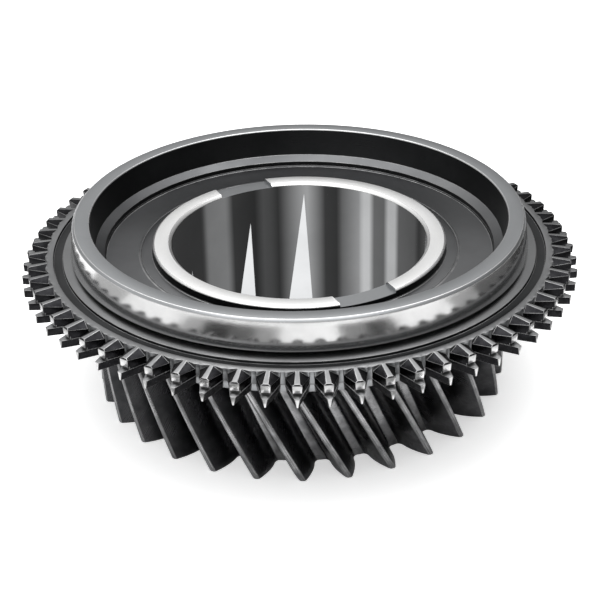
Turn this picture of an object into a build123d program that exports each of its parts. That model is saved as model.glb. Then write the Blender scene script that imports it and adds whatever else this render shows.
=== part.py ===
from build123d import *
from math import acos, atan2, cos, degrees, pi, radians, sin, tan
import os

# Speed gear of a heavy gearbox main shaft, lying on its helical end: a helical
# gear wheel with a clutch body pressed and welded on its neck. The origin is
# the centre of the flat bottom face, +Z points up along the bore towards the
# synchroniser cone, and all lengths are millimetres.

# Helical gear
tooth_count = 30
normal_module = 4.25
normal_pressure_angle = 17.5
helix_angle = 25.5
addendum = 5.9
dedendum = 6.3
backlash = 0.5
root_rounding = 1.7
tip_chamfer = 0.4
face_width = 44.8
tooth_phase = -90.2

# Bore, neck and hub face of the gear wheel
bore_radius = 46.9
bore_chamfer = 1.0
hub_wall = 6.9
hub_edge_chamfer = 0.6
hub_height = 3.5
neck_step = 4.2
channel_width = 21.5
channel_depth = 1.3
channel_azimuth = 116.0

# Clutch body: seat on the gear wheel, dog ring, dish and the ledge round it
seat_height = 1.0
seat_width = 5.0
ring_thickness = 7.7
dish_depth = 1.8
dish_width = 13.2
ledge_width = 3.2
ledge_height = 1.7
ledge_foot_rise = 2.2
mouth_flare = 1.3

# Friction cone and the relief neck under it
cone_relief_height = 1.8
cone_relief_depth = 2.75
cone_length = 10.9
cone_foot_wall = 7.65
cone_half_angle = 7.5
cone_edge_chamfer = 0.85
cone_mouth_chamfer = 0.3

# Turned groove in the flat annulus
groove_inset = 2.95
groove_width = 3.5
groove_depth = 1.0

# Pointed dog teeth with a stop lip at their foot
dog_count = 63
dog_phase = -90.87
dog_root_inset = 2.6
dog_root_land = 1.4
dog_height = 6.6
dog_lip_reach = 2.3
dog_lip_width = 1.7
dog_lip_height = 3.1
dog_lip_draft = 10.0
dog_back_taper = 5.0
dog_taper_start = 1.6
dog_edge_chamfer = 0.45
dog_undercut_depth = 0.7
dog_undercut_height = 0.8
dog_point_lead = 0.7
dog_point_angle = 28.0
dog_top_fall = 5.5
dog_ridge_start_width = 1.0
dog_ridge_end_width = 1.7
dog_tongue = 0.5

# How far a cutting shape runs past the surface that it cuts
overrun = 1.0

# Radii from the bore outwards, each one wall or step further out
hub_radius = bore_radius + hub_wall
neck_radius = hub_radius + neck_step
seat_radius = neck_radius + seat_width
dish_radius = neck_radius + dish_width
ledge_radius = dish_radius + ledge_width
cone_mouth_radius = ledge_radius + mouth_flare
cone_foot_radius = cone_mouth_radius + cone_foot_wall
cone_relief_radius = cone_foot_radius - cone_relief_depth
groove_inner_radius = cone_foot_radius + groove_inset
groove_outer_radius = groove_inner_radius + groove_width
dog_root_radius = groove_outer_radius + dog_root_inset
dog_point_radius = dog_root_radius - dog_point_lead
dog_tip_radius = dog_root_radius + dog_height
dog_lip_radius = dog_tip_radius + dog_lip_reach

# Heights up the axis, worked out from the sizes above
ring_under_z = face_width + seat_height
lip_z = ring_under_z + dog_lip_height
flat_z = ring_under_z + ring_thickness
floor_z = flat_z - dish_depth
hub_z = floor_z + hub_height
cone_foot_z = flat_z + cone_relief_height
rim_z = cone_foot_z + cone_length

# Tooth form in the plane across the axis
transverse_module = normal_module / cos(radians(helix_angle))
pitch_radius = tooth_count * transverse_module / 2
transverse_pressure = atan2(tan(radians(normal_pressure_angle)), cos(radians(helix_angle)))
base_radius = pitch_radius * cos(transverse_pressure)
tip_radius = pitch_radius + addendum
root_radius = pitch_radius - dedendum
helix_lead = 2 * pi * pitch_radius / tan(radians(helix_angle))


def involute(angle):
    """How far an involute has turned where its pressure angle is the one given."""
    return tan(angle) - angle


def half_tooth_angle(radius):
    """Half the angle that a gear tooth takes up at a radius, in radians."""
    at_pitch = (pi * transverse_module / 2 - backlash) / (2 * pitch_radius)
    pressure = acos(min(1.0, base_radius / radius))
    return at_pitch + involute(transverse_pressure) - involute(pressure)


def polar(radius, angle):
    """A point of the plane at a radius and an angle in radians."""
    return (radius * cos(angle), radius * sin(angle))


def circles_of(piece, radius):
    """The full circles of a piece with a radius, from the lowest up."""
    circles = piece.edges().filter_by(GeomType.CIRCLE)
    return circles.filter_by(lambda edge: abs(edge.radius - radius) < 0.001).sort_by(Axis.Z)


os.makedirs("parts", exist_ok=True)

# One pitch of the gear on +X: a slice of the blank with one tooth on it. Its
# flanks are involutes down to the base circle, below it a quarter of an ellipse
# rounds the foot, both in short facets, and the corners of the tip are broken.
flank_start = max(base_radius, root_radius + root_rounding)
flank_end = tip_radius - tip_chamfer
flank_steps = 3
flank_radii = [
    flank_start + (flank_end - flank_start) * step / flank_steps
    for step in range(flank_steps + 1)
]
foot_angle = half_tooth_angle(flank_start)
foot_steps = 3
foot_turns = [pi / 2 * step / foot_steps for step in range(foot_steps + 1)]
foot_places = [
    (
        flank_start - (flank_start - root_radius) * sin(turn),
        foot_angle + root_rounding * (1 - cos(turn)) / root_radius,
    )
    for turn in foot_turns
]
land_angle = half_tooth_angle(tip_radius) - tip_chamfer / tip_radius
half_pitch = pi / tooth_count
root_middle = (foot_places[-1][1] + half_pitch) / 2
with BuildSketch() as gear_pitch:
    with BuildLine():
        left_flank = Polyline(*[polar(r, half_tooth_angle(r)) for r in flank_radii])
        right_flank = Polyline(*[polar(r, -half_tooth_angle(r)) for r in flank_radii])
        tip_land = ThreePointArc(
            polar(tip_radius, land_angle), (tip_radius, 0), polar(tip_radius, -land_angle)
        )
        Line(left_flank @ 1, tip_land @ 0)
        Line(right_flank @ 1, tip_land @ 1)
        left_foot = Polyline(*[polar(r, angle) for r, angle in foot_places])
        right_foot = Polyline(*[polar(r, -angle) for r, angle in foot_places])
        left_root = ThreePointArc(
            left_foot @ 1, polar(root_radius, root_middle), polar(root_radius, half_pitch)
        )
        right_root = ThreePointArc(
            right_foot @ 1, polar(root_radius, -root_middle), polar(root_radius, -half_pitch)
        )
        Polyline(left_root @ 1, (0, 0), right_root @ 1)
    make_face()

with BuildSketch() as gear_outline:
    with PolarLocations(0, tooth_count, start_angle=tooth_phase):
        add(gear_pitch.sketch)

# The teeth are that outline swept up the axis while a left-hand helix turns
# it. The neck that the clutch body is pressed on stands on them, and the
# bore for the needle bearing goes right through.
with BuildPart() as gear_wheel:
    with BuildLine() as sweep_axis:
        Line((0, 0, 0), (0, 0, face_width))
    with BuildLine() as turning_guide:
        Helix(pitch=helix_lead, height=face_width, radius=pitch_radius, lefthand=True)
    sweep(gear_outline.sketch, path=sweep_axis.line, binormal=turning_guide.edge())
    with BuildSketch(Plane.XY.offset(face_width)):
        Circle(neck_radius)
    extrude(amount=floor_z - face_width)
    with BuildSketch(Plane.XY.offset(floor_z)):
        Circle(hub_radius)
    extrude(amount=hub_height)
    with BuildSketch(Plane.XY):
        Circle(bore_radius)
    extrude(amount=hub_z, mode=Mode.SUBTRACT)
    chamfer(circles_of(gear_wheel, bore_radius), bore_chamfer)
    chamfer(circles_of(gear_wheel, hub_radius)[-1], hub_edge_chamfer)
    with BuildSketch(Plane.XY.offset(hub_z)):
        Rectangle(2 * neck_radius, channel_width, rotation=channel_azimuth)
    extrude(amount=-channel_depth, mode=Mode.SUBTRACT)
gear_wheel.part.label = "gear_wheel"
export_step(gear_wheel.part, "parts/gear_wheel.step")

# Dog teeth in plan: a tooth side is one straight line from the root land in
# the middle of the gap out to the narrow face of the stop lip.
dog_half_pitch = pi / dog_count
lip_gap_angle = dog_half_pitch - dog_lip_width / 2 / dog_lip_radius
lip_gap_x, lip_gap_y = polar(dog_lip_radius, lip_gap_angle)
gap_slope = (lip_gap_y - dog_root_land / 2) / (lip_gap_x - dog_root_radius)
gap_reach = dog_lip_radius + overrun - dog_root_radius
half_mouth = dog_root_land / 2 + gap_reach * gap_slope

# The gap between two teeth is straight at its top and widens downwards below:
# above the lip by the back taper that holds the sliding sleeve in mesh, and in
# the lip by its forging draft. Each zone stands on its own wide foot.
taper_top_z = flat_z - dog_taper_start
tapered_zones = (
    (lip_z, taper_top_z - lip_z, dog_back_taper),
    (ring_under_z - overrun, dog_lip_height + overrun, dog_lip_draft),
)
with BuildSketch() as gap_plan:
    Polygon(
        (dog_root_radius, -dog_root_land / 2),
        (dog_root_radius + gap_reach, -half_mouth),
        (dog_root_radius + gap_reach, half_mouth),
        (dog_root_radius, dog_root_land / 2),
        align=None,
    )
with BuildPart() as dog_gap:
    with BuildSketch(Plane.XY.offset(taper_top_z)):
        add(gap_plan.sketch)
    extrude(amount=dog_taper_start + overrun)
    for zone_foot, zone_height, side_slope in tapered_zones:
        with BuildSketch(Plane.XY.offset(zone_foot)):
            add(gap_plan.sketch)
            offset(amount=zone_height * tan(radians(side_slope)), kind=Kind.INTERSECTION)
        extrude(amount=zone_height, taper=side_slope)

# One dog tooth on +X as the pointing tool leaves it: a roof of two planes over
# the whole pitch, with its top cut off along a plane that falls outwards faster
# than the roof does, so the ridge is a narrow land that widens towards the tip.
point_reach = dog_tip_radius - dog_point_radius
point_slope = tan(radians(dog_point_angle))
top_slope = tan(radians(dog_top_fall))
roof_z = flat_z + dog_ridge_start_width / 2 * point_slope
ridge_growth = (dog_ridge_end_width - dog_ridge_start_width) / 2 / point_reach
roof_fall = top_slope - ridge_growth * point_slope
roof_half = dog_lip_radius * tan(dog_half_pitch) + overrun
roof_depth = roof_half * point_slope + ring_thickness + overrun
top_plane = Plane(
    origin=(dog_point_radius, 0, flat_z), x_dir=(0, 1, 0), z_dir=(top_slope, 0, 1)
)
with BuildPart() as pointed_top:
    with BuildSketch(Plane(origin=(dog_point_radius, 0, roof_z), x_dir=(0, 1, 0), z_dir=(1, 0, 0))):
        Polygon(
            (0, 0),
            (roof_half, -roof_half * point_slope),
            (roof_half, -roof_depth),
            (-roof_half, -roof_depth),
            (-roof_half, -roof_half * point_slope),
            align=None,
        )
    extrude(amount=2 * gap_reach, dir=(1, 0, -roof_fall))
    split(bisect_by=top_plane, keep=Keep.BOTTOM)

# What the tool takes off: all above that shape in one pitch, from the point
# radius outwards, which leaves a tongue of the flat between two teeth.
tongue_x, tongue_y = polar(dog_root_radius + dog_tongue, dog_half_pitch)
mouth_x, mouth_y = polar(dog_lip_radius + overrun, dog_half_pitch)
with BuildPart() as dog_point:
    with BuildSketch(Plane.XY.offset(lip_z)):
        Polygon(
            (dog_point_radius, 0),
            (tongue_x, -tongue_y),
            (mouth_x, -mouth_y),
            (mouth_x, mouth_y),
            (tongue_x, tongue_y),
            align=None,
        )
    extrude(amount=flat_z + overrun - lip_z)
    add(pointed_top.part, mode=Mode.SUBTRACT)

# The clutch body is turned from one section, then the teeth are pointed and
# the gaps between them are cut.
tip_drop = (point_reach - dog_edge_chamfer) * top_slope + dog_edge_chamfer
cone_taper = (cone_length - cone_edge_chamfer) * tan(radians(cone_half_angle))
cone_top_radius = cone_foot_radius - cone_taper
with BuildPart() as clutch_body:
    with BuildSketch(Plane.XZ):
        with BuildLine():
            Polyline(
                (neck_radius, face_width),
                (seat_radius, face_width),
                (seat_radius, ring_under_z),
                (dog_lip_radius, ring_under_z),
                (dog_lip_radius, lip_z),
                (dog_tip_radius - dog_undercut_depth, lip_z),
                (dog_tip_radius - dog_undercut_depth, lip_z + dog_undercut_height),
                (dog_tip_radius, lip_z + dog_undercut_height),
                (dog_tip_radius, flat_z - tip_drop),
                (dog_tip_radius - tip_drop, flat_z),
                (groove_outer_radius, flat_z),
                (groove_outer_radius, flat_z - groove_depth),
                (groove_inner_radius, flat_z - groove_depth),
                (groove_inner_radius, flat_z),
                (cone_relief_radius, flat_z),
                (cone_relief_radius, cone_foot_z),
                (cone_foot_radius, cone_foot_z),
                (cone_top_radius, rim_z - cone_edge_chamfer),
                (cone_top_radius - cone_edge_chamfer, rim_z),
                (cone_mouth_radius + cone_mouth_chamfer, rim_z),
                (cone_mouth_radius, rim_z - cone_mouth_chamfer),
                (ledge_radius, floor_z + ledge_foot_rise + ledge_height),
                (dish_radius, floor_z + ledge_foot_rise),
                (dish_radius, floor_z),
                (neck_radius, floor_z),
                close=True,
            )
        make_face()
    revolve(axis=Axis.Z)
    with PolarLocations(0, dog_count, start_angle=dog_phase):
        add(dog_point.part, mode=Mode.SUBTRACT)
    with PolarLocations(0, dog_count, start_angle=dog_phase + degrees(dog_half_pitch)):
        add(dog_gap.part, mode=Mode.SUBTRACT)
clutch_body.part.label = "clutch_body"
export_step(clutch_body.part, "parts/clutch_body.step")
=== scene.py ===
# %% [markdown]
# # A gearbox speed gear in steel
# The object is one loose gear from the main shaft of a heavy gearbox. It lies on its helical
# teeth, with the hollow friction cone of the synchroniser pointing up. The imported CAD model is
# loaded as a fixed frame in metres. The two CAD nodes are right in shape, but their facets are
# too coarse for polished steel, so each one is modelled again here with fine, even faces and
# rounded edges, and the new piece stands for the node.

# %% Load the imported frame
from math import acos, atan2, cos, hypot, pi, radians, sin, tan

import bmesh
import bpy
from mathutils import Matrix, Vector


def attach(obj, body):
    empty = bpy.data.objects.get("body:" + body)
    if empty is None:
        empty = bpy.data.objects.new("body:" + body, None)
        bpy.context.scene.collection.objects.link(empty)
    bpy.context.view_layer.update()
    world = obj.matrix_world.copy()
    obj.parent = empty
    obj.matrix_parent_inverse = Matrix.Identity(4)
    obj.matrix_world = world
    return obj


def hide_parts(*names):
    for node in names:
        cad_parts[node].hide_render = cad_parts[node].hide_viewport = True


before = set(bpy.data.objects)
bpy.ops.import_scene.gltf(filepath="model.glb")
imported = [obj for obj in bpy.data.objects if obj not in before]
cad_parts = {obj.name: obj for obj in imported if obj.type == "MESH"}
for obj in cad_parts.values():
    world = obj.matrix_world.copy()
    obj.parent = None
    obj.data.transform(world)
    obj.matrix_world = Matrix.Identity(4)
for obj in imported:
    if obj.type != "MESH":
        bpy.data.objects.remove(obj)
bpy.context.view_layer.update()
scene = bpy.context.scene
scene.view_settings.view_transform = "Standard"
print("CAD nodes:", sorted(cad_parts))

# %% [markdown]
# ## The camera
# The photograph is taken from slightly above with a medium long lens. The place, the tilt and
# the lens come from fitting the gear's own circles (rim, dish, hub and bore) to their ellipses
# in the picture.

# %% Camera
MM = 0.001
CAMERA_TILT = 0.505
CAMERA_ROLL = -0.019
CAMERA_DISTANCE = 547.0 * MM
CAMERA_AIM = Vector((-0.127, 0.0, 28.18)) * MM
CAMERA_LENS = 87.14

camera_data = bpy.data.cameras.new("camera")
camera_data.sensor_width = 36.0
camera_data.lens = CAMERA_LENS
camera = bpy.data.objects.new("camera", camera_data)
scene.collection.objects.link(camera)
ahead = Vector((0.0, cos(CAMERA_TILT), -sin(CAMERA_TILT)))
level_up = Vector((0.0, sin(CAMERA_TILT), cos(CAMERA_TILT)))
level_right = Vector((1.0, 0.0, 0.0))
right = cos(CAMERA_ROLL) * level_right + sin(CAMERA_ROLL) * level_up
up = -sin(CAMERA_ROLL) * level_right + cos(CAMERA_ROLL) * level_up
place = CAMERA_AIM - CAMERA_DISTANCE * ahead
camera.matrix_world = Matrix((
    (right.x, up.x, -ahead.x, place.x),
    (right.y, up.y, -ahead.y, place.y),
    (right.z, up.z, -ahead.z, place.z),
    (0.0, 0.0, 0.0, 1.0),
))
scene.camera = camera
print("camera at", [round(v, 4) for v in place])

# %% [markdown]
# ## Tools for turned and toothed shapes
# A lathe part is one section turned about its axis, and teeth are one pitch repeated round it.
# So the first helpers draw a line by extruding one vertex from point to point, turn it round
# the Z axis, and repeat a mesh round the axis. Everything is deselected first, because an
# operator acts on all that is selected.

# %% Helpers for edit mode
SAME_PLACE = 0.001 * MM


def clean_start():
    """Leave edit mode and select nothing."""
    if bpy.context.object and bpy.context.object.mode == "EDIT":
        bpy.ops.object.mode_set(mode="OBJECT")
    bpy.ops.object.select_all(action="DESELECT")


def use(piece):
    """Make a piece the only selected one."""
    clean_start()
    piece.select_set(True)
    bpy.context.view_layer.objects.active = piece


def draw_line(name, points):
    """A new piece in edit mode: one vertex extruded through the points, given in millimetres."""
    clean_start()
    start = Vector(points[0]) * MM
    bpy.ops.mesh.primitive_plane_add(size=MM, location=start)
    piece = bpy.context.object
    piece.name = name
    bpy.ops.object.transform_apply(location=True)
    bpy.ops.object.mode_set(mode="EDIT")
    bpy.ops.mesh.select_mode(type="VERT")
    bpy.ops.mesh.select_all(action="SELECT")
    bpy.ops.mesh.merge(type="CENTER")
    for before, after in zip(points, points[1:]):
        step = (Vector(after) - Vector(before)) * MM
        bpy.ops.mesh.extrude_region_move(TRANSFORM_OT_translate={"value": step})
    bpy.ops.mesh.select_all(action="SELECT")
    return piece


def turn_mesh(angle):
    """Turn the selected part of the mesh about the Z axis, anticlockwise seen from above."""
    bpy.ops.transform.rotate(value=-angle, orient_axis="Z", center_override=(0.0, 0.0, 0.0))


def spin_mesh(steps, angle, copies=False):
    """Sweep the selection about the Z axis, or repeat it round the axis as copies."""
    bpy.ops.mesh.spin(
        steps=steps, dupli=copies, angle=angle, center=(0.0, 0.0, 0.0), axis=(0.0, 0.0, 1.0)
    )


def merge_and_face_out():
    """Join the vertices that meet and point all faces outwards."""
    bpy.ops.mesh.select_all(action="SELECT")
    bpy.ops.mesh.remove_doubles(threshold=SAME_PLACE)
    bpy.ops.mesh.normals_make_consistent(inside=False)


def report_size(piece):
    """Print how many faces a piece has and how large it is."""
    size = [round(side / MM, 2) for side in piece.dimensions]
    print(piece.name, len(piece.data.polygons), "faces,", size, "mm")


print("helpers ready")

# %% [markdown]
# ## Steel finishes
# The whole gear is one kind of case-hardened steel, and what tells its faces apart is how each
# one was finished. As hardened, the tooth flanks are dark, and their colour is set darker still as
# painted shade. The dish wall, the recesses and the points of the dog teeth are painted nearly
# black, and the dish darker, as painted shade. What was turned afterwards is satin grey with fine
# rings, and what was ground is bright: the friction cone, the hub face, the bore and the tips of
# the teeth. A picture of steel wrapped round the gear would smear at the teeth, so the finishes
# are computed from the place on the object. Three effects are shared, so each is a node group:
# tool rings, oil stains and slow waves.

# %% Helpers for shader nodes
def new_group(name, inputs, outputs):
    """An empty shader group with named float inputs and outputs."""
    group = bpy.data.node_groups.new(name, "ShaderNodeTree")
    for title, value in inputs:
        socket = group.interface.new_socket(title, in_out="INPUT", socket_type="NodeSocketFloat")
        socket.default_value = value
    for title in outputs:
        group.interface.new_socket(title, in_out="OUTPUT", socket_type="NodeSocketFloat")
    return group, group.nodes.new("NodeGroupInput"), group.nodes.new("NodeGroupOutput")


def math_node(tree, operation, first, second=None):
    """A math node whose inputs are numbers or sockets."""
    node = tree.nodes.new("ShaderNodeMath")
    node.operation = operation
    for number, value in enumerate((first, second)):
        if value is None:
            continue
        if isinstance(value, (int, float)):
            node.inputs[number].default_value = value
        else:
            tree.links.new(value, node.inputs[number])
    return node.outputs[0]


def object_place(tree):
    """The socket of a point's place on the object, in metres."""
    return tree.nodes.new("ShaderNodeTexCoord").outputs["Object"]


def split_place(tree, spot):
    """The sockets of the X, Y and Z of a place."""
    split = tree.nodes.new("ShaderNodeSeparateXYZ")
    tree.links.new(spot, split.inputs[0])
    return split.outputs


print("node helpers ready")

# %% [markdown]
# A lathe tool and a grinding wheel both leave rings round the axis. On a flat face the rings
# follow the distance from the axis, and on a wall they follow the height, so the sum of both
# serves everywhere. A one-dimensional noise along that sum gives rings of uneven depth, and a
# little drift keeps them from being perfect circles.

# %% Node group for tool rings
rings, rings_in, rings_out = new_group(
    "tool_rings", [("Rings per mm", 2.0), ("Break-up", 0.15)], ["Height"]
)
spot = object_place(rings)
x, y, z = split_place(rings, spot)
x_squared = math_node(rings, "MULTIPLY", x, x)
y_squared = math_node(rings, "MULTIPLY", y, y)
distance = math_node(rings, "SQRT", math_node(rings, "ADD", x_squared, y_squared))
per_metre = math_node(rings, "MULTIPLY", rings_in.outputs["Rings per mm"], 1 / MM)
along = math_node(rings, "MULTIPLY", math_node(rings, "ADD", distance, z), per_metre)
drift = rings.nodes.new("ShaderNodeTexNoise")
drift.inputs["Scale"].default_value = 60.0
drift.inputs["Detail"].default_value = 1.0
rings.links.new(spot, drift.inputs["Vector"])
shift = math_node(rings, "MULTIPLY", drift.outputs[0], rings_in.outputs["Break-up"])
ring_noise = rings.nodes.new("ShaderNodeTexNoise")
ring_noise.noise_dimensions = "1D"
ring_noise.inputs["Scale"].default_value = 1.0
ring_noise.inputs["Detail"].default_value = 2.0
rings.links.new(math_node(rings, "ADD", along, shift), ring_noise.inputs["W"])
rings.links.new(ring_noise.outputs[0], rings_out.inputs["Height"])
print("group", rings.name, "has", len(rings.nodes), "nodes")

# %% [markdown]
# Oil and handling leave soft clouds that are a little darker and duller. A noise with its
# middle stretched to full contrast gives their mask.

# %% Node group for oil stains
stains, stains_in, stains_out = new_group(
    "oil_stains", [("Size mm", 20.0), ("Softness", 0.3)], ["Mask"]
)
cloud = stains.nodes.new("ShaderNodeTexNoise")
cloud.inputs["Detail"].default_value = 4.0
cloud.inputs["Roughness"].default_value = 0.55
stains.links.new(object_place(stains), cloud.inputs["Vector"])
cloud_scale = math_node(stains, "DIVIDE", 1 / MM, stains_in.outputs["Size mm"])
stains.links.new(cloud_scale, cloud.inputs["Scale"])
contrast = stains.nodes.new("ShaderNodeMapRange")
contrast.interpolation_type = "SMOOTHSTEP"
stains.links.new(cloud.outputs[0], contrast.inputs["Value"])
softness = stains_in.outputs["Softness"]
stains.links.new(math_node(stains, "SUBTRACT", 0.5, softness), contrast.inputs["From Min"])
stains.links.new(math_node(stains, "ADD", 0.5, softness), contrast.inputs["From Max"])
stains.links.new(contrast.outputs[0], stains_out.inputs["Mask"])
print("group", stains.name, "has", len(stains.nodes), "nodes")

# %% [markdown]
# A face that mirrors its surroundings looks like plastic when it is perfectly level. Waves a
# few millimetres long, from a soft noise, break up what the cone and the teeth mirror. As a
# bump they cost no faces.

# %% Node group for slow waves
waves, waves_in, waves_out = new_group("slow_waves", [("Size mm", 4.0)], ["Height"])
swell = waves.nodes.new("ShaderNodeTexNoise")
swell.inputs["Detail"].default_value = 2.0
waves.links.new(object_place(waves), swell.inputs["Vector"])
swell_scale = math_node(waves, "DIVIDE", 1 / MM, waves_in.outputs["Size mm"])
waves.links.new(swell_scale, swell.inputs["Scale"])
waves.links.new(swell.outputs[0], waves_out.inputs["Height"])
print("group", waves.name, "has", len(waves.nodes), "nodes")

# %% [markdown]
# Every finish follows one recipe. The stains mix a lighter and a darker metal, and stains and
# rings together set how smooth it is. The rings are a very shallow bump, and the cone and the
# teeth have the slow waves on top of it.

# %% Helpers for a finish
RING_DEPTH = 0.02 * MM
WAVE_DEPTH = 0.2 * MM


def place_group(tree, group, title, value):
    """A shared effect in a material, with one of its inputs set."""
    node = tree.nodes.new("ShaderNodeGroup")
    node.node_tree = group
    node.inputs[title].default_value = value
    return node.outputs[0]


def bump(tree, height, depth, strength, below=None):
    """The normal of a bump over a height, on top of the bump below it."""
    node = tree.nodes.new("ShaderNodeBump")
    node.inputs["Distance"].default_value = depth
    node.inputs["Strength"].default_value = strength
    tree.links.new(height, node.inputs["Height"])
    if below is not None:
        tree.links.new(below, node.inputs["Normal"])
    return node.outputs[0]


print("helpers for a finish ready")

# %% One recipe for every finish
def steel_finish(name, light, dark, gloss, ring, stain_mm, wave=None):
    """Metal between two colours and two roughnesses.

    ring is the strength of the tool rings and their number in a millimetre, and wave is the
    strength of the slow waves and their size in millimetres.
    """
    material = bpy.data.materials.new(name)
    material.use_nodes = True
    tree = material.node_tree
    shader = tree.nodes["Principled BSDF"]
    shader.inputs["Metallic"].default_value = 1.0
    mask = place_group(tree, stains, "Size mm", stain_mm)
    height = place_group(tree, rings, "Rings per mm", ring[1])
    colour = tree.nodes.new("ShaderNodeMix")
    colour.data_type = "RGBA"
    colour.inputs["A"].default_value = (*light, 1.0)
    colour.inputs["B"].default_value = (*dark, 1.0)
    tree.links.new(mask, colour.inputs["Factor"])
    tree.links.new(colour.outputs["Result"], shader.inputs["Base Color"])
    roughness = tree.nodes.new("ShaderNodeMapRange")
    roughness.inputs["To Min"].default_value, roughness.inputs["To Max"].default_value = gloss
    both = math_node(tree, "MULTIPLY", math_node(tree, "ADD", mask, height), 0.5)
    tree.links.new(both, roughness.inputs["Value"])
    tree.links.new(roughness.outputs[0], shader.inputs["Roughness"])
    normal = bump(tree, height, RING_DEPTH, ring[0])
    if wave:
        swell_height = place_group(tree, waves, "Size mm", wave[1])
        normal = bump(tree, swell_height, WAVE_DEPTH, wave[0], normal)
    tree.links.new(normal, shader.inputs["Normal"])
    return material


print("recipe ready")

# %% [markdown]
# The finishes themselves: first what the lathe left and what was ground, then the teeth and
# the edges. An edge is brighter than the faces beside it, because handling polishes it first.

# %% The turned and the ground finishes
turned_steel = steel_finish(
    "turned_steel", (0.42, 0.43, 0.44), (0.33, 0.34, 0.35), (0.26, 0.4), (0.25, 2.5), 30.0
)
dull_turned = steel_finish(
    "dull_turned", (0.32, 0.323, 0.327), (0.2, 0.202, 0.206), (0.28, 0.42), (0.25, 2.5), 45.0
)
# Painted shade: a nearly black steel for the recessed walls, the relief neck and the groove.
recess_painted_shade = steel_finish(
    "recess_painted_shade", (0.045, 0.046, 0.048), (0.028, 0.029, 0.03), (0.24, 0.38), (0.2, 2.5), 20.0
)
# Painted shade: a darker steel for the floor and the ledge of the dish.
dish_painted_shade = steel_finish(
    "dish_painted_shade", (0.19, 0.193, 0.197), (0.1, 0.102, 0.106), (0.28, 0.42), (0.25, 2.5), 45.0
)
ground_cone = steel_finish(
    "ground_cone", (0.92, 0.92, 0.92), (0.8, 0.8, 0.8), (0.1, 0.24), (0.12, 5.0), 12.0, (0.14, 5.0)
)
ground_face = steel_finish(
    "ground_face", (0.97, 0.97, 0.96), (0.86, 0.86, 0.86), (0.34, 0.46), (0.2, 3.0), 14.0
)
honed_bore = steel_finish(
    "honed_bore", (0.86, 0.87, 0.88), (0.76, 0.77, 0.78), (0.03, 0.08), (0.15, 7.0), 18.0
)
print("turned and ground finishes ready")

# %% The finishes of teeth and edges
bright_lands = steel_finish(
    "bright_lands", (0.97, 0.97, 0.97), (0.7, 0.7, 0.7), (0.22, 0.38), (0.1, 3.0), 4.0, (0.1, 2.0)
)
worn_tips = steel_finish(
    "worn_tips", (0.6, 0.6, 0.61), (0.16, 0.16, 0.165), (0.22, 0.36), (0.1, 3.0), 7.0, (0.1, 3.0)
)
# Dark as hardened steel, and darker still as painted shade between the teeth.
hardened_flanks_painted_shade = steel_finish(
    "hardened_flanks_painted_shade", (0.17, 0.17, 0.175), (0.06, 0.061, 0.065), (0.22, 0.36), (0.1, 3.0), 9.0,
    (0.1, 3.0),
)
# Painted shade: near-black for the roof sides and the flanks of the dog teeth.
dog_points_painted_shade = steel_finish(
    "dog_points_painted_shade", (0.024, 0.024, 0.026), (0.01, 0.01, 0.011), (0.2, 0.36), (0.1, 3.0), 3.0,
    (0.12, 2.0),
)
rounded_edges = steel_finish(
    "rounded_edges", (0.85, 0.85, 0.85), (0.6, 0.6, 0.6), (0.2, 0.35), (0.0, 1.0), 6.0
)
dull_edges = steel_finish(
    "dull_edges", (0.4, 0.4, 0.4), (0.14, 0.14, 0.145), (0.22, 0.36), (0.0, 1.0), 5.0
)
finishes = [
    turned_steel, rounded_edges, ground_cone, hardened_flanks_painted_shade, ground_face, honed_bore, bright_lands,
    recess_painted_shade, dull_turned, worn_tips, dull_edges, dish_painted_shade, dog_points_painted_shade,
]
print("finishes:", [material.name for material in finishes])

# %% [markdown]
# Each piece carries all finishes as slots, and each of its faces is given one by its distance
# from the axis, its height and its normal. That is done before the edges are rounded, while
# every face still is one whole face of the shape.

# %% Which face gets which finish
def dress(piece, choose):
    """Give each face the finish that choose(radius, height, normal) names, in millimetres."""
    piece.data.materials.clear()
    for material in finishes:
        piece.data.materials.append(material)
    counts = {}
    for face in piece.data.polygons:
        middle = face.center / MM
        finish = choose(hypot(middle.x, middle.y), middle.z, face.normal)
        face.material_index = finishes.index(finish)
        counts[finish.name] = counts.get(finish.name, 0) + 1
    print(piece.name, counts)


print("dress ready")

# %% [markdown]
# ## The clutch body, turned part
# The clutch body is turned from one disc: the hollow friction cone, the dish inside it, the
# relief neck at the cone's foot and the shallow groove in the flat. The section is drawn once
# from the outer edge of the flat inwards, over the cone, through the dish and back under the
# disc. It stops short of the dog teeth, where the toothed ring joins on. The number of steps
# round the axis is four for each dog tooth, so that the two meshes meet vertex to vertex.

# %% Section of the turned part
DOG_COUNT = 63
STEPS_PER_DOG = 4
DOG_PHASE = radians(-90.87)
DOG_PITCH = 2 * pi / DOG_COUNT

UNDER = 45.8
SEAT_STEP = 1.0
LIP_TOP = 48.9
DISH_FLOOR = 51.7
FLAT = 53.5
CONE_START = FLAT + 1.8
RIM_TOP = 66.2
JOIN = 90.6
GROOVE_OUTER = 89.8
GROOVE_INNER = 86.3
GROOVE_DEPTH = 1.0
CONE_FOOT = 83.35
CONE_END = 82.03
RIM_CHAMFER = 0.85
RELIEF = 80.6
MOUTH = 75.7
LEDGE = 74.4
LEDGE_TOP = 55.6
LEDGE_FOOT = 53.9
DISH_WALL = 71.2
SEAT = 63.0
NECK = 58.0
WELD_RISE = 0.12
CORNER = 0.3
GROOVE_SLANT = 0.15
CONE_CORNER = 0.2
DISH_CORNER = 0.5

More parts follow.
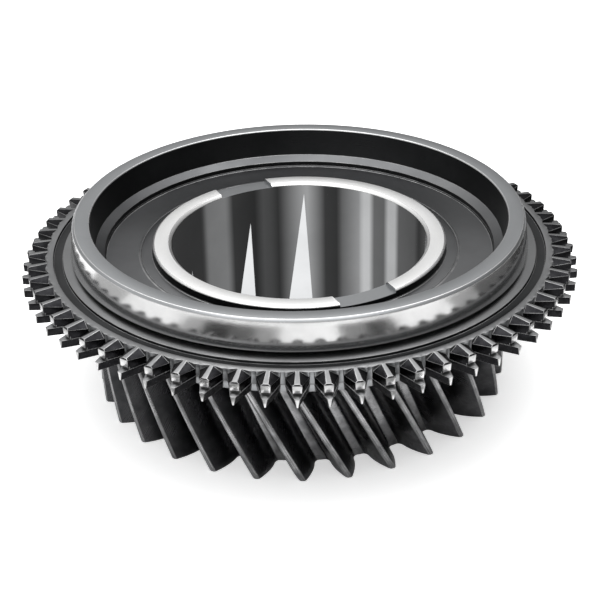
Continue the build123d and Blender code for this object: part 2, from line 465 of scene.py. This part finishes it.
groove = [
    (GROOVE_OUTER, FLAT), (GROOVE_OUTER - GROOVE_SLANT, FLAT - GROOVE_DEPTH),
    (GROOVE_INNER + GROOVE_SLANT, FLAT - GROOVE_DEPTH), (GROOVE_INNER, FLAT),
]
relief = [
    (RELIEF + CORNER, FLAT), (RELIEF, FLAT + CORNER), (RELIEF, CONE_START - CONE_CORNER),
    (RELIEF + CONE_CORNER, CONE_START),
]
cone = [(CONE_FOOT, CONE_START), (CONE_END, RIM_TOP - RIM_CHAMFER), (CONE_END - RIM_CHAMFER, RIM_TOP)]
mouth = [(MOUTH + CORNER, RIM_TOP), (MOUTH, RIM_TOP - CORNER)]
ledge = [(LEDGE, LEDGE_TOP), (DISH_WALL, LEDGE_FOOT)]
dish = [(DISH_WALL, DISH_FLOOR + DISH_CORNER), (DISH_WALL - DISH_CORNER, DISH_FLOOR)]
weld = [
    (NECK + 0.9, DISH_FLOOR), (NECK + 0.7, DISH_FLOOR + WELD_RISE),
    (NECK + 0.1, DISH_FLOOR + WELD_RISE), (NECK, DISH_FLOOR),
]
underside = [(NECK, UNDER - SEAT_STEP), (SEAT, UNDER - SEAT_STEP), (SEAT, UNDER), (JOIN, UNDER)]
section = [(JOIN, FLAT)] + groove + relief + cone + mouth + ledge + dish + weld + underside
print("points in the section:", len(section))

# %% Turned part
turned = draw_line("clutch_body_steel", [(r, 0.0, z) for r, z in section])
spin_mesh(DOG_COUNT * STEPS_PER_DOG, 2 * pi)
merge_and_face_out()
turn_mesh(DOG_PHASE)
bpy.ops.object.mode_set(mode="OBJECT")
report_size(turned)

# %% [markdown]
# The cone is ground. The relief neck, the groove, the dish wall and the wall under the mouth
# are painted nearly black as painted shade, and the rest is as turned, duller on the flat and
# painted darker in the dish as painted shade. A face's centre clears the limits between two
# finishes by a sliver at least.

# %% Finishes of the turned part
SLIVER = 0.1


def turned_finish(radius, z, normal):
    """Finish of a face of the turned part."""
    if radius > RELIEF and CONE_START + SLIVER < z < RIM_TOP - RIM_CHAMFER:
        return ground_cone
    on_wall = LEDGE - SLIVER < radius < MOUTH + SLIVER and z < RIM_TOP - CORNER
    in_relief = RELIEF - SLIVER < radius < CONE_FOOT and FLAT < z < CONE_START + SLIVER
    groove_floor = FLAT - GROOVE_DEPTH
    in_groove = GROOVE_INNER < radius < GROOVE_OUTER and groove_floor - SLIVER < z < FLAT - SLIVER
    in_dish_corner = radius < DISH_WALL + SLIVER and abs(normal.z) < 0.9 and z > DISH_FLOOR
    # Painted shade on the recessed walls, the relief neck, the groove and the dish corner.
    if on_wall or in_relief or in_groove or in_dish_corner:
        return recess_painted_shade
    # Painted shade: the dish is given a darker steel.
    if radius < LEDGE - SLIVER and z > UNDER + SLIVER:
        return dish_painted_shade
    if UNDER + SLIVER < z < RIM_TOP - 1.0:
        return dull_turned
    return turned_steel


dress(turned, turned_finish)

# %% [markdown]
# ## The clutch body, one dog tooth
# A dog tooth is milled out of a turned ring. One pitch of that ring is made as a closed slice.
# Then it is cut as the real tools cut it: the gap between two teeth is taken out at both ends
# of the slice, and the point is cut by planes. Boolean modifiers do that without guessing
# where the planes meet.

# %% One pitch of the toothed ring, still blank
TIP = 99.0
LIP = 101.3
TOP_SLOPE = tan(radians(5.5))
POINT_START = 91.7
DOG_CHAMFER = 0.45
UNDERCUT = 0.7
UNDERCUT_TOP = LIP_TOP + 0.8
tip_drop = (TIP - POINT_START - DOG_CHAMFER) * TOP_SLOPE + DOG_CHAMFER
blank = [
    (JOIN, UNDER), (LIP, UNDER), (LIP, LIP_TOP), (TIP - UNDERCUT, LIP_TOP),
    (TIP - UNDERCUT, UNDERCUT_TOP), (TIP, UNDERCUT_TOP), (TIP, FLAT - tip_drop),
    (TIP - tip_drop, FLAT), (JOIN, FLAT),
]
tooth = draw_line("dog_teeth", [(r, 0.0, z) for r, z in blank])
bpy.ops.mesh.edge_face_add()
spin_mesh(STEPS_PER_DOG, DOG_PITCH)
merge_and_face_out()
turn_mesh(DOG_PITCH / 2)
bpy.ops.object.mode_set(mode="OBJECT")
report_size(tooth)

# %% [markdown]
# The cutter for the gap is a block with a trapezoid plan. It is straight at the top, widens
# downwards by the back taper that keeps the sleeve in mesh, and steps in again at the stop
# lip, which widens only by its draft.

# %% Cutter for the gap
ROOT = 92.4
ROOT_LAND = 1.4
LIP_WIDTH = 1.7
TAPER_START = FLAT - 1.6
BACK_TAPER = radians(5.0)
LIP_DRAFT = radians(10.0)
CUTTER_EXTRA = 1.0
lip_angle = DOG_PITCH / 2 - LIP_WIDTH / 2 / LIP
side_slope = (LIP * sin(lip_angle) - ROOT_LAND / 2) / (LIP * cos(lip_angle) - ROOT)


def gap_corners(widening, z):
    """Corners of the gap's plan on +X at one height, its sides moved out by the widening."""
    inner_x, outer_x = ROOT - widening, LIP + CUTTER_EXTRA
    middle = ROOT_LAND / 2 + widening * hypot(1.0, side_slope)
    inner_y = middle - widening * side_slope
    outer_y = middle + (outer_x - ROOT) * side_slope
    corners = [(inner_x, -inner_y), (outer_x, -outer_y), (outer_x, outer_y), (inner_x, inner_y)]
    return [(x, y, z) for x, y in corners]


def stack_up(name, levels):
    """A closed block through levels of four corners each, given in millimetres."""
    clean_start()
    bpy.ops.mesh.primitive_plane_add(size=MM)
    piece = bpy.context.object
    piece.name = name
    bpy.ops.object.mode_set(mode="EDIT")
    bpy.ops.mesh.delete(type="ONLY_FACE")
    mesh = bmesh.from_edit_mesh(piece.data)
    bmesh.ops.delete(mesh, geom=mesh.verts[:], context="VERTS")
    loops = [[mesh.verts.new(Vector(corner) * MM) for corner in level] for level in levels]
    for lower, upper in zip(loops, loops[1:]):
        for side in range(4):
            mesh.faces.new((lower[side - 1], lower[side], upper[side], upper[side - 1]))
    mesh.faces.new(loops[0])
    mesh.faces.new(loops[-1])
    bmesh.update_edit_mesh(piece.data)
    bpy.ops.mesh.select_all(action="SELECT")
    bpy.ops.mesh.normals_make_consistent(inside=False)
    return piece


taper = (TAPER_START - LIP_TOP) * tan(BACK_TAPER)
draft = (LIP_TOP - UNDER + CUTTER_EXTRA) * tan(LIP_DRAFT)
gap_levels = [
    gap_corners(draft, UNDER - CUTTER_EXTRA), gap_corners(0.0, LIP_TOP),
    gap_corners(taper, LIP_TOP), gap_corners(0.0, TAPER_START),
    gap_corners(0.0, FLAT + CUTTER_EXTRA),
]
gap_cutter = stack_up("gap_cutter", gap_levels)
bpy.ops.object.mode_set(mode="OBJECT")
report_size(gap_cutter)

# %% [markdown]
# The point is cut by three planes: two roof sides and the narrow land along the ridge. Each
# cutter is the same prism over the tooth with all below one plane bisected away.

# %% Cutters for the point
TONGUE = 92.9
POINT_SLOPE = tan(radians(28.0))
RIDGE_START = 1.0
RIDGE_END = 1.7
ridge_growth = (RIDGE_END - RIDGE_START) / 2 / (TIP - POINT_START)
roof_fall = TOP_SLOPE - ridge_growth * POINT_SLOPE
roof_top = Vector((POINT_START, 0.0, FLAT + RIDGE_START / 2 * POINT_SLOPE)) * MM
half = DOG_PITCH / 2
OVERLAP = 1.04


def point_level(z):
    """Plan of the pointing cut at one height, a little wider than the pitch."""
    near_x, near_y = TONGUE * cos(half), TONGUE * sin(half)
    far = LIP + CUTTER_EXTRA
    far_x, far_y = far * cos(half), far * sin(half * OVERLAP)
    return [
        (POINT_START, 0.0, z), (near_x, -near_y, z), (far_x, -far_y, z), (far_x, far_y, z),
        (near_x, near_y, z),
    ]


def point_cutter(name, place, normal):
    """The prism over one tooth, with all below the plane cut away."""
    piece = draw_line(name, point_level(LIP_TOP))
    bpy.ops.mesh.edge_face_add()
    rise = (0.0, 0.0, (FLAT + CUTTER_EXTRA - LIP_TOP) * MM)
    bpy.ops.mesh.extrude_region_move(TRANSFORM_OT_translate={"value": rise})
    bpy.ops.mesh.select_all(action="SELECT")
    bpy.ops.mesh.normals_make_consistent(inside=False)
    bpy.ops.mesh.bisect(plane_co=place, plane_no=normal, use_fill=True, clear_inner=True)
    bpy.ops.mesh.select_all(action="SELECT")
    bpy.ops.mesh.normals_make_consistent(inside=False)
    bpy.ops.object.mode_set(mode="OBJECT")
    return piece


ridge_place = Vector((POINT_START, 0.0, FLAT)) * MM
cutters = [
    point_cutter("ridge_cutter", ridge_place, (TOP_SLOPE, 0.0, 1.0)),
    point_cutter("left_roof_cutter", roof_top, (roof_fall, POINT_SLOPE, 1.0)),
    point_cutter("right_roof_cutter", roof_top, (roof_fall, -POINT_SLOPE, 1.0)),
]
for side in (-1, 1):
    use(gap_cutter)
    bpy.ops.object.duplicate()
    cutter = bpy.context.object
    bpy.ops.object.mode_set(mode="EDIT")
    bpy.ops.mesh.select_all(action="SELECT")
    turn_mesh(side * DOG_PITCH / 2)
    bpy.ops.object.mode_set(mode="OBJECT")
    cutters.append(cutter)
print(len(cutters), "cutters")

# %% Cut the tooth
for cutter in cutters:
    use(tooth)
    cut = tooth.modifiers.new("cut", "BOOLEAN")
    cut.operation = "DIFFERENCE"
    cut.solver = "EXACT"
    cut.object = cutter
    bpy.ops.object.modifier_apply(modifier=cut.name)
    bpy.data.objects.remove(cutter)
bpy.data.objects.remove(gap_cutter)
report_size(tooth)

# %% [markdown]
# The slice is open again at its two ends and at its inner wall, so that neighbours share their
# edges. Then it is repeated round the axis and joined to the turned part.

# %% Repeat the tooth and join it on
use(tooth)
bpy.ops.object.mode_set(mode="EDIT")
bpy.ops.mesh.select_mode(type="FACE")
mesh = bmesh.from_edit_mesh(tooth.data)
for face in mesh.faces:
    angles = [abs(atan2(corner.co.y, corner.co.x)) for corner in face.verts]
    radii = [hypot(corner.co.x, corner.co.y) for corner in face.verts]
    on_end = min(angles) > DOG_PITCH / 2 - 1e-5
    on_wall = max(radii) < (JOIN + 0.01) * MM
    face.select = on_end or on_wall
bmesh.update_edit_mesh(tooth.data)
bpy.ops.mesh.delete(type="ONLY_FACE")
bpy.ops.mesh.select_all(action="SELECT")
bpy.ops.mesh.delete_loose()
bpy.ops.mesh.select_all(action="SELECT")
spin_mesh(DOG_COUNT - 1, DOG_PITCH * (DOG_COUNT - 1), copies=True)
merge_and_face_out()
turn_mesh(DOG_PHASE)
bpy.ops.object.mode_set(mode="OBJECT")
report_size(tooth)

# %% [markdown]
# The fronts of the tooth and of its stop lip are bright. The flanks and the roof sides are
# painted black as painted shade, the land along the ridge is a dull grey, and the wall between
# two teeth is as turned.

# %% Finishes of the dog teeth
def dog_finish(radius, z, normal):
    """Finish of a face of the toothed ring."""
    upright = abs(normal.z) < 0.3
    on_lip = radius > LIP - 0.8
    on_tip = radius > TIP - 1.0 and z > UNDERCUT_TOP + 0.01
    if z > FLAT - 0.01 or normal.z < -0.9:
        return dull_turned
    if upright and (on_lip or on_tip):
        return bright_lands
    if normal.z > 0.97:
        return dull_turned
    if upright and radius < ROOT + 1.1:
        return turned_steel
    # Painted shade: the roof sides and the flanks are near-black.
    return dog_points_painted_shade


dress(tooth, dog_finish)

# %% [markdown]
# ## The gear wheel, helical teeth
# The flanks are involutes. The outline of one pitch is worked out from the tooth's form in the
# plane across the axis, drawn once, and repeated round the axis. Extruding it upwards in short
# steps, each turned a little, gives the left-hand helix.

# %% Outline of one gear tooth
TOOTH_COUNT = 30
HELIX = radians(25.5)
TRANSVERSE_MODULE = 4.25 / cos(HELIX)
BACKLASH = 0.5
ADDENDUM = 5.9
DEDENDUM = 6.3
PITCH_RADIUS = TOOTH_COUNT * TRANSVERSE_MODULE / 2
PRESSURE = atan2(tan(radians(17.5)), cos(HELIX))
BASE_RADIUS = PITCH_RADIUS * cos(PRESSURE)
TIP_RADIUS = PITCH_RADIUS + ADDENDUM
ROOT_RADIUS = PITCH_RADIUS - DEDENDUM
ROUNDING = 1.7
TIP_CHAMFER = 0.4
GEAR_TOP = 44.8
GEAR_PHASE = radians(-90.2)
TWIST = GEAR_TOP * tan(HELIX) / PITCH_RADIUS


def half_tooth(radius):
    """Half the angle that a tooth takes up at a radius."""
    at_pitch = (pi * TRANSVERSE_MODULE / 2 - BACKLASH) / (2 * PITCH_RADIUS)
    pressure = acos(min(1.0, BASE_RADIUS / radius))
    return at_pitch + tan(PRESSURE) - PRESSURE - (tan(pressure) - pressure)


def polar(radius, angle, z=0.0):
    """A point at a radius, an angle and a height."""
    return (radius * cos(angle), radius * sin(angle), z)


FLANK_STEPS = 8
FOOT_STEPS = 4
flank_start = max(BASE_RADIUS, ROOT_RADIUS + ROUNDING)
flank_end = TIP_RADIUS - TIP_CHAMFER
foot_angle = half_tooth(flank_start)
right_side = []
for step in range(FOOT_STEPS, 0, -1):
    turn = pi / 2 * step / FOOT_STEPS
    foot_radius = flank_start - (flank_start - ROOT_RADIUS) * sin(turn)
    right_side.append((foot_radius, foot_angle + ROUNDING * (1 - cos(turn)) / ROOT_RADIUS))
for step in range(FLANK_STEPS + 1):
    radius = flank_start + (flank_end - flank_start) * step / FLANK_STEPS
    right_side.append((radius, half_tooth(radius)))
right_side.append((TIP_RADIUS, half_tooth(TIP_RADIUS) - TIP_CHAMFER / TIP_RADIUS))
outline = [(ROOT_RADIUS, pi / TOOTH_COUNT)] + right_side + [(TIP_RADIUS, 0.0)]
outline = [(r, -a) for r, a in outline] + [(r, a) for r, a in reversed(outline[:-1])]
print("points in one pitch:", len(outline))

# %% Helical teeth
HELIX_STEPS = 20
gear = draw_line("gear_wheel_steel", [polar(r, a) for r, a in outline])
gear_pitch = 2 * pi / TOOTH_COUNT
spin_mesh(TOOTH_COUNT - 1, gear_pitch * (TOOTH_COUNT - 1), copies=True)
bpy.ops.mesh.select_all(action="SELECT")
bpy.ops.mesh.remove_doubles(threshold=SAME_PLACE)
turn_mesh(GEAR_PHASE)
for step in range(HELIX_STEPS):
    bpy.ops.mesh.extrude_region_move(
        TRANSFORM_OT_translate={"value": (0.0, 0.0, GEAR_TOP / HELIX_STEPS * MM)}
    )
    turn_mesh(-TWIST / HELIX_STEPS)
bpy.ops.object.mode_set(mode="OBJECT")
report_size(gear)

# %% [markdown]
# The ends of the teeth, the bore, the neck and the hub face carry on from the two open ends.
# Each step extrudes the open loop and sets it on its next circle, as one scales a loop in.

# %% End faces, bore, neck and hub
BORE = 46.9
HUB = 53.8
HUB_TOP = 55.2
CORE = 61.0
BORE_CHAMFER = 1.0
HUB_CHAMFER = 0.6
HUB_CORNER = 0.3


def carry_on(mesh, loop, radius, z):
    """Extrude a closed loop of edges and set the new one on a circle at a height."""
    made = bmesh.ops.extrude_edge_only(mesh, edges=loop)["geom"]
    new_edges = [part for part in made if isinstance(part, bmesh.types.BMEdge)]
    corners = {corner for edge in new_edges for corner in edge.verts}
    for corner in corners:
        angle = atan2(corner.co.y, corner.co.x)
        corner.co = Vector(polar(radius, angle, z)) * MM
    return [edge for edge in new_edges if all(abs(c.co.z - z * MM) < 1e-7 for c in edge.verts)]


use(gear)
bpy.ops.object.mode_set(mode="EDIT")
mesh = bmesh.from_edit_mesh(gear.data)
open_edges = [edge for edge in mesh.edges if edge.is_boundary]
lower = [edge for edge in open_edges if edge.verts[0].co.z < MM]
upper = [edge for edge in open_edges if edge.verts[0].co.z > MM]
inside = [
    (CORE, 0.0), (BORE + BORE_CHAMFER, 0.0), (BORE, BORE_CHAMFER), (BORE, HUB_TOP - BORE_CHAMFER),
    (BORE + BORE_CHAMFER, HUB_TOP), (HUB - HUB_CHAMFER, HUB_TOP), (HUB, HUB_TOP - HUB_CHAMFER),
    (HUB, DISH_FLOOR + HUB_CORNER), (HUB + HUB_CORNER, DISH_FLOOR), (NECK, DISH_FLOOR),
    (NECK, GEAR_TOP),
]
for radius, z in inside:
    lower = carry_on(mesh, lower, radius, z)
upper = carry_on(mesh, upper, CORE, GEAR_TOP)
bmesh.ops.bridge_loops(mesh, edges=lower + upper)
bmesh.update_edit_mesh(gear.data)
merge_and_face_out()
bpy.ops.object.mode_set(mode="OBJECT")
report_size(gear)

# %% [markdown]
# The flanks of the helical teeth are dark as hardened, and painted darker still as painted
# shade, and their tips and the floors between them are lighter in patches. The hub's wall and
# the dish floor beside it are painted dark as painted shade. The bore is honed and the hub face
# is ground.

# %% Finishes of the gear wheel
WEAR = 0.35


def gear_finish(radius, z, normal):
    """Finish of a face of the gear wheel."""
    if radius < BORE + SLIVER:
        return honed_bore
    if radius < HUB + SLIVER and z > HUB_TOP - HUB_CHAMFER - SLIVER:
        return ground_face
    # Painted shade on the hub's wall inside the dish.
    if radius < HUB + SLIVER and z > DISH_FLOOR + HUB_CORNER + SLIVER:
        return recess_painted_shade
    # Painted shade on the dish floor beside the hub.
    if radius < CORE and DISH_FLOOR - SLIVER < z < DISH_FLOOR + HUB_CORNER + SLIVER:
        return dish_painted_shade
    on_side = abs(normal.z) < 0.9
    on_root = CORE < radius < ROOT_RADIUS + SLIVER and on_side
    if radius > TIP_RADIUS - WEAR or on_root:
        return worn_tips
    # The flanks: dark as hardened, and darker still as painted shade.
    if radius > CORE and on_side:
        return hardened_flanks_painted_shade
    return turned_steel


dress(gear, gear_finish)

# %% [markdown]
# ## Edges
# No edge of a real part is sharp. Each is broken by a small bevel, and the faces of the bevel
# take the finish of a polished edge. Away from the rim and the hub it is a duller one. The
# rounding lifts a few corners of the dog teeth above the flat, and they are set back on it.

# %% Rounding of the edges
def round_edges(piece, width, angle, material):
    """Round all edges sharper than an angle by a bevel whose faces take a finish."""
    use(piece)
    bevel = piece.modifiers.new("rounding", "BEVEL")
    bevel.width = width * MM
    bevel.segments = 2
    bevel.limit_method = "ANGLE"
    bevel.angle_limit = radians(angle)
    bevel.use_clamp_overlap = False
    bevel.material = finishes.index(material)
    bpy.ops.object.modifier_apply(modifier=bevel.name)
    report_size(piece)


TURNED_ROUNDING = 0.12
GEAR_ROUNDING = 0.14
round_edges(turned, TURNED_ROUNDING, 20, rounded_edges)
round_edges(tooth, TURNED_ROUNDING, 20, dull_edges)
round_edges(gear, GEAR_ROUNDING, 25, rounded_edges)
for corner in tooth.data.vertices:
    corner.co.z = min(corner.co.z, FLAT * MM)
dulled = 0
for piece in (turned, gear):
    for face in piece.data.polygons:
        middle = face.center / MM
        radius = hypot(middle.x, middle.y)
        outside = radius > CORE and middle.z < CONE_START + 0.4
        in_dish = radius > HUB and middle.z < DISH_FLOOR + 1.0
        if finishes[face.material_index] == rounded_edges and (outside or in_dish):
            face.material_index = finishes.index(dull_edges)
            dulled += 1
print(dulled, "edge faces are dull")

# %% [markdown]
# The toothed ring and the turned part meet vertex to vertex, so joining them and merging the
# doubles leaves one closed mesh.

# %% Join the toothed ring to the turned part
use(turned)
tooth.select_set(True)
bpy.ops.object.join()
bpy.ops.object.mode_set(mode="EDIT")
merge_and_face_out()
bpy.ops.object.mode_set(mode="OBJECT")
report_size(turned)

# %% [markdown]
# The oil channel is milled straight across the hub face with one pass of a wide cutter.

# %% Oil channel
CHANNEL_LENGTH = 130.0
CHANNEL_WIDTH = 21.5
CHANNEL_DEPTH = 1.3
CHANNEL_TURN = 116.0
clean_start()
bpy.ops.mesh.primitive_cube_add(size=1.0)
channel = bpy.context.object
channel.scale = (CHANNEL_LENGTH * MM, CHANNEL_WIDTH * MM, 2 * CHANNEL_DEPTH * MM)
channel.rotation_euler = (0.0, 0.0, radians(CHANNEL_TURN))
channel.location = (0.0, 0.0, HUB_TOP * MM)
for material in finishes:
    channel.data.materials.append(material)
for face in channel.data.polygons:
    face.material_index = finishes.index(turned_steel)
cut = gear.modifiers.new("channel", "BOOLEAN")
cut.operation = "DIFFERENCE"
cut.solver = "EXACT"
cut.object = channel
use(gear)
bpy.ops.object.modifier_apply(modifier=cut.name)
bpy.data.objects.remove(channel)
report_size(gear)

# %% [markdown]
# ## The floor
# The background of the picture is plain white, so the floor is matt and nearly white. It glows
# a little for the camera alone, which keeps the shadow of the gear but makes it faint.

# %% Floor
FLOOR_SIZE = 6.0
FLOOR_GLOW = 0.5
clean_start()
bpy.ops.mesh.primitive_plane_add(size=FLOOR_SIZE, location=(0.0, 0.0, 0.0))
floor = bpy.context.object
floor.name = "floor"
floor_material = bpy.data.materials.new("pale_floor")
floor_material.use_nodes = True
floor_shader = floor_material.node_tree.nodes["Principled BSDF"]
floor_shader.inputs["Base Color"].default_value = (0.93, 0.93, 0.93, 1.0)
floor_shader.inputs["Roughness"].default_value = 0.9
floor_shader.inputs["Specular IOR Level"].default_value = 0.0
floor_shader.inputs["Emission Color"].default_value = (1.0, 1.0, 1.0, 1.0)
seen = floor_material.node_tree.nodes.new("ShaderNodeLightPath")
lift = math_node(floor_material.node_tree, "MULTIPLY", seen.outputs["Is Camera Ray"], FLOOR_GLOW)
floor_material.node_tree.links.new(lift, floor_shader.inputs["Emission Strength"])
floor.data.materials.append(floor_material)
print("floor of", floor.dimensions.x, "m")

# %% [markdown]
# ## Cards round the gear
# Bright metal shows nothing but what stands round it. The polished cone mirrors the floor a
# hand's breadth away, out of the picture, and its dark bands are the black cards that a product
# photographer lays there. Each card is a sector of a ring: one edge, spun round the axis. The
# cards are seen in reflections and nowhere else, so they throw no light or shadow.

# %% Helpers for cards
def card_material(name):
    """A black material whose glow the caller sets, and its shader."""
    material = bpy.data.materials.new(name)
    material.use_nodes = True
    shader = material.node_tree.nodes["Principled BSDF"]
    shader.inputs["Base Color"].default_value = (0.0, 0.0, 0.0, 1.0)
    shader.inputs["Specular IOR Level"].default_value = 0.0
    shader.inputs["Emission Color"].default_value = (1.0, 1.0, 1.0, 1.0)
    return material, shader


def only_in_reflections(piece):
    """Hide a piece from the camera and from soft light, and leave it in mirrors."""
    piece.visible_camera = False
    piece.visible_diffuse = False
    piece.visible_shadow = False


CARD_NEAR = 0.16
CARD_FAR = 0.5
CARD_HEIGHT = 1 * MM
CARD_STEPS = 16


def floor_card(name, start, end, grey):
    """A card just above the floor, between two angles in degrees, that glows by its grey."""
    clean_start()
    bpy.ops.mesh.primitive_plane_add(size=0.01)
    piece = bpy.context.object
    piece.name = name
    bpy.ops.object.mode_set(mode="EDIT")
    bpy.ops.mesh.select_mode(type="VERT")
    bpy.ops.mesh.select_all(action="SELECT")
    bpy.ops.mesh.merge(type="CENTER")
    first = Vector((cos(radians(end)), sin(radians(end)), 0.0))
    bpy.ops.transform.translate(value=first * CARD_NEAR + Vector((0.0, 0.0, CARD_HEIGHT)))
    outwards = first * (CARD_FAR - CARD_NEAR)
    bpy.ops.mesh.extrude_region_move(TRANSFORM_OT_translate={"value": outwards})
    bpy.ops.mesh.select_all(action="SELECT")
    spin_mesh(CARD_STEPS, radians(end - start))
    bpy.ops.object.mode_set(mode="OBJECT")
    material, shader = card_material(name)
    shader.inputs["Emission Strength"].default_value = grey
    piece.data.materials.append(material)
    only_in_reflections(piece)


print("card helpers ready")

# %% Cards on the floor
floor_cards = [
    ("card_left_pale", -190, -168, 0.45),
    ("card_left_white", -168, -138, 0.95),
    ("card_left_soft", -138, -129, 0.4),
    ("card_left_dark", -129, -118, 0.04),
    ("card_left_grey", -118, -108, 0.12),
    ("card_left_light", -108, -98.5, 0.32),
    ("card_front_white", -98.5, -75, 1.0),
    ("card_right_grey", -75, -64, 0.24),
    ("card_right_dark", -64, -52.5, 0.05),
    ("card_right_white", -52.5, -26, 1.0),
    ("card_side_soft", -26, -12, 0.35),
    ("card_side_grey", -12, 15, 0.1),
    ("card_side_dark", 15, 75, 0.04),
]
for name, start, end, grey in floor_cards:
    floor_card(name, start, end, grey)
print(len(floor_cards), "cards")

# %% [markdown]
# ## Card in the bore
# The honed bore is a hollow mirror. A tube of striped card stands in it, a little smaller than
# the bore, and its stripes are mirrored as upright streaks. Angles are counted from the back of
# the bore, positive to the right. The zero of the tube's own height is at its middle.

# %% Tube of card
TUBE_RADIUS = BORE - 1.4
TUBE_HEIGHT = 54.0
TUBE_FOOT = 0.05
clean_start()
bpy.ops.mesh.primitive_cylinder_add(
    vertices=96, radius=TUBE_RADIUS * MM, depth=TUBE_HEIGHT * MM, end_fill_type="NOTHING",
    location=(0.0, 0.0, (TUBE_FOOT + TUBE_HEIGHT / 2) * MM),
)
tube = bpy.context.object
tube.name = "card_in_bore"
striped_card, shader = card_material("striped_card")
tube.data.materials.append(striped_card)
only_in_reflections(tube)
report_size(tube)

# %% Upright stripes
tree = striped_card.node_tree
x, y, z = split_place(tree, object_place(tree))
turn = math_node(tree, "ARCTAN2", x, y)
turn_share = tree.nodes.new("ShaderNodeMapRange")
turn_share.inputs["From Min"].default_value = -pi
turn_share.inputs["From Max"].default_value = pi
tree.links.new(turn, turn_share.inputs["Value"])
greys = tree.nodes.new("ShaderNodeValToRGB")
tree.links.new(turn_share.outputs[0], greys.inputs["Fac"])
stripes = [
    (-180, 0.3), (-120, 0.05), (-65, 0.04), (-51, 0.04), (-47.5, 0.2), (-36, 0.22),
    (-32.5, 0.045), (-21, 0.03), (-17, 0.08), (-13.5, 0.07), (-9.5, 0.035), (4, 0.4), (11, 0.12),
    (12.5, 0.05), (19, 0.04), (20.5, 0.13), (30, 0.34), (31.5, 0.6), (35.5, 0.6), (37.5, 0.16),
    (44, 0.14), (46, 0.5), (51, 0.5), (53, 0.13), (66, 0.1), (70, 0.04), (120, 0.3), (150, 0.06),
]
stops = greys.color_ramp.elements
while len(stops) < len(stripes):
    stops.new(1.0)
for stop, (angle, grey) in zip(stops, stripes):
    stop.position = (angle + 180) / 360
    stop.color = (grey, grey, grey, 1.0)
print("stripes:", len(stripes))

# %% [markdown]
# Three stripes start wide near the tube's foot and narrow to a point, and the honed bore
# mirrors them as white spikes. Each has the angle of its foot, how far it leans, half the width
# of its foot, all in degrees, and its height in millimetres.

# %% White spikes
SPIKE_FOOT = -26.0
glow = greys.outputs["Color"]
height_up = math_node(tree, "SUBTRACT", z, SPIKE_FOOT * MM)
spikes = [(-26.6, 3.2, 4.6, 38), (0.3, 2.4, 5.7, 49), (-61, 1.0, 2.2, 28)]
for foot_angle, lean, half_foot, reach in spikes:
    climb = math_node(tree, "DIVIDE", height_up, reach * MM)
    leaning = math_node(tree, "MULTIPLY", climb, radians(lean))
    middle = math_node(tree, "ADD", leaning, radians(foot_angle))
    off = math_node(tree, "ABSOLUTE", math_node(tree, "SUBTRACT", turn, middle))
    narrowing = math_node(tree, "SUBTRACT", 1.0, climb)
    half_width = math_node(tree, "MULTIPLY", narrowing, radians(half_foot))
    glow = math_node(tree, "MAXIMUM", glow, math_node(tree, "GREATER_THAN", half_width, off))
tree.links.new(glow, shader.inputs["Emission Strength"])
print("spikes:", len(spikes))

# %% [markdown]
# ## World and lamp
# The world is a grey studio, bright overhead, dim at the sides and a little brighter on the
# left, so that flat steel shows a soft change of tone. The camera alone sees it as white, which
# keeps the background white from low viewpoints. One large soft lamp overhead gives the level.

# %% World
world = bpy.data.worlds.new("studio")
scene.world = world
world.use_nodes = True
air = world.node_tree
direction = air.nodes.new("ShaderNodeTexCoord")
split = air.nodes.new("ShaderNodeSeparateXYZ")
air.links.new(direction.outputs["Generated"], split.inputs[0])
to_left = math_node(air, "MULTIPLY", split.outputs["X"], -0.3)
walls = air.nodes.new("ShaderNodeValToRGB")
air.links.new(math_node(air, "ADD", split.outputs["Z"], to_left), walls.inputs["Fac"])
side, top = walls.color_ramp.elements
side.position, side.color = 0.0, (0.12, 0.12, 0.12, 1.0)
top.position, top.color = 0.75, (0.9, 0.9, 0.9, 1.0)
walls.color_ramp.elements.new(0.42).color = (0.5, 0.5, 0.5, 1.0)
seen = air.nodes.new("ShaderNodeLightPath")
backdrop = air.nodes.new("ShaderNodeMix")
backdrop.data_type = "RGBA"
backdrop.inputs["B"].default_value = (1.0, 1.0, 1.0, 1.0)
air.links.new(seen.outputs["Is Camera Ray"], backdrop.inputs["Factor"])
air.links.new(walls.outputs["Color"], backdrop.inputs["A"])
sky = air.nodes["Background"]
air.links.new(backdrop.outputs["Result"], sky.inputs["Color"])
sky.inputs["Strength"].default_value = 1.0
print("world:", world.name)

# %% Lamp
lamp_data = bpy.data.lights.new("top_box", "AREA")
lamp_data.shape = "SQUARE"
lamp_data.size = 1.6
lamp_data.energy = 16.5
lamp = bpy.data.objects.new("top_box", lamp_data)
scene.collection.objects.link(lamp)
lamp.location = (0.0, 0.1, 1.3)
lamp.rotation_euler = (-lamp.location).to_track_quat("-Z", "Y").to_euler()
print("lamp of", lamp_data.energy, "W")

# %% [markdown]
# ## The pieces stand for the CAD nodes
# Smooth shading by angle keeps the faces that meet at a sharp edge apart.

# %% Shading, bodies and hidden CAD nodes
for piece in (turned, gear):
    use(piece)
    bpy.ops.object.shade_smooth_by_angle(angle=radians(30.0))
    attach(piece, "root")
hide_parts("clutch_body")
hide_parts("gear_wheel")
print("pieces ride on the root body")
